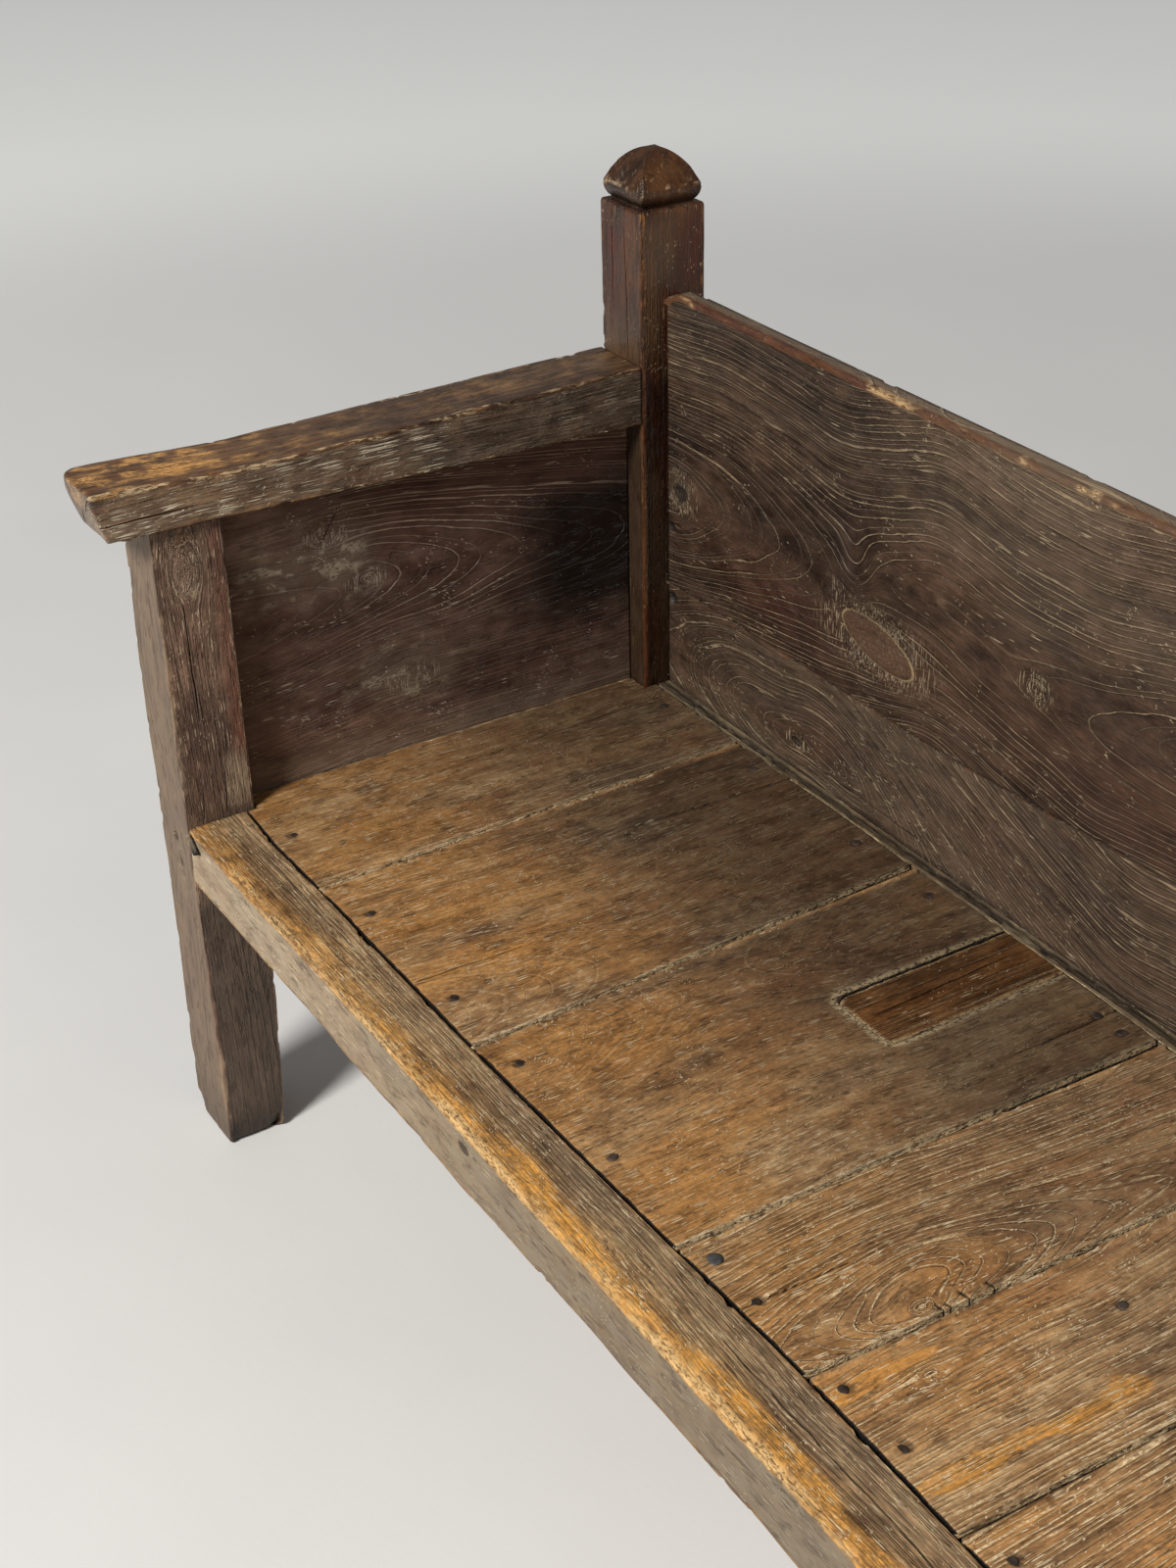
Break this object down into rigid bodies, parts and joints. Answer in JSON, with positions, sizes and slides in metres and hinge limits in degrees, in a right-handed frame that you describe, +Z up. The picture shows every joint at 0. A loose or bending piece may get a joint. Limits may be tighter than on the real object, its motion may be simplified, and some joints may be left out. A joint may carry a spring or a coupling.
{
  "type": "monks bench",
  "caption": "Long rustic wooden settle with square posts, domed finials on the back posts, boarded sides and back, square arms, and a seat of planks nailed across rebated rails.",
  "frame": {"origin": "centre of the footprint's box, on the floor", "axes": "+Z up, +Y from the front towards the back, +X along the seat, to the right of someone who faces the front"},
  "size_m": [2, 0.696, 1.008],
  "materials": {
    "post_wood": "old hewn hardwood, dark, waxed, satin",
    "rail_wood": "old hewn hardwood, worn golden on its front arris, satin",
    "hidden_frame_wood": "old sawn wood, dry and dusty, matt",
    "arm_wood": "old hardwood polished by hands, satin",
    "panel_wood": "old softwood, very dark stain, satin",
    "back_wood": "old coniferous plank with raised grain, dark, satin",
    "seat_wood": "old planks worn by sitting, waxed, satin",
    "patch_wood": "redder, younger repair wood, satin",
    "nail_iron": "forged iron, dark, dull",
    "peg_wood": "split oak pegs, dark end grain"
  },
  "bodies": {
    "root": {"left_front_post": "post_wood", "right_front_post": "post_wood", "left_back_post": "post_wood", "right_back_post": "post_wood", "front_seat_rail": "rail_wood", "back_seat_rail": "hidden_frame_wood", "left_seat_rail": "hidden_frame_wood", "right_seat_rail": "hidden_frame_wood", "left_arm": "arm_wood", "right_arm": "arm_wood", "left_side_panel": "panel_wood", "right_side_panel": "panel_wood", "upper_back_board": "back_wood", "lower_back_board": "back_wood", "seat_board_1": "seat_wood", "seat_board_2": "seat_wood", "seat_board_3": "seat_wood", "seat_board_4": "seat_wood", "seat_board_5": "seat_wood", "seat_board_6": "seat_wood", "seat_board_7": "seat_wood", "seat_board_8": "seat_wood", "seat_patch": "patch_wood", "front_seat_nails": "nail_iron", "back_seat_nails": "nail_iron", "rail_pegs": "peg_wood", "arm_pegs": "peg_wood"}
  },
  "joints": []
}
